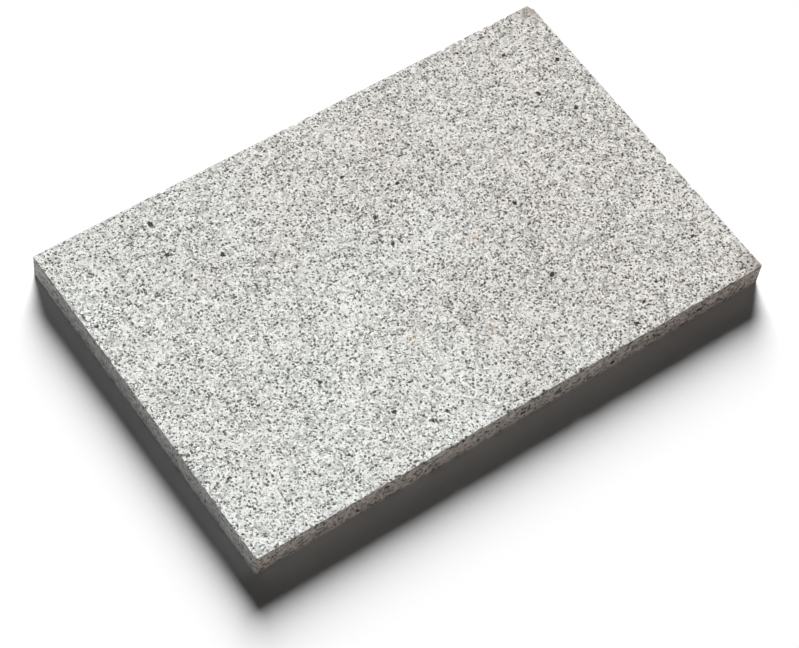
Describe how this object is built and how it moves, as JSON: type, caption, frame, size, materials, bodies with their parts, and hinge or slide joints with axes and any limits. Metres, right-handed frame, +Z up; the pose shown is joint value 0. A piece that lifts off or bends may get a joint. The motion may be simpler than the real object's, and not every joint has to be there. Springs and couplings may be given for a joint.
{
  "type": "granite slab",
  "caption": "Flat rectangular slab of sawn light grey granite with eased edges, a hard flat base for tooling and stamping leather.",
  "frame": {"origin": "middle of the underside, the face the slab rests on", "axes": "+X along the length, +Y along the width, +Z up out of the working face"},
  "size_m": [0.62, 0.4, 0.03],
  "materials": {
    "granite": "matt, fine flamed face and sawn edges"
  },
  "bodies": {
    "root": {"granite_slab": "granite"}
  },
  "joints": []
}
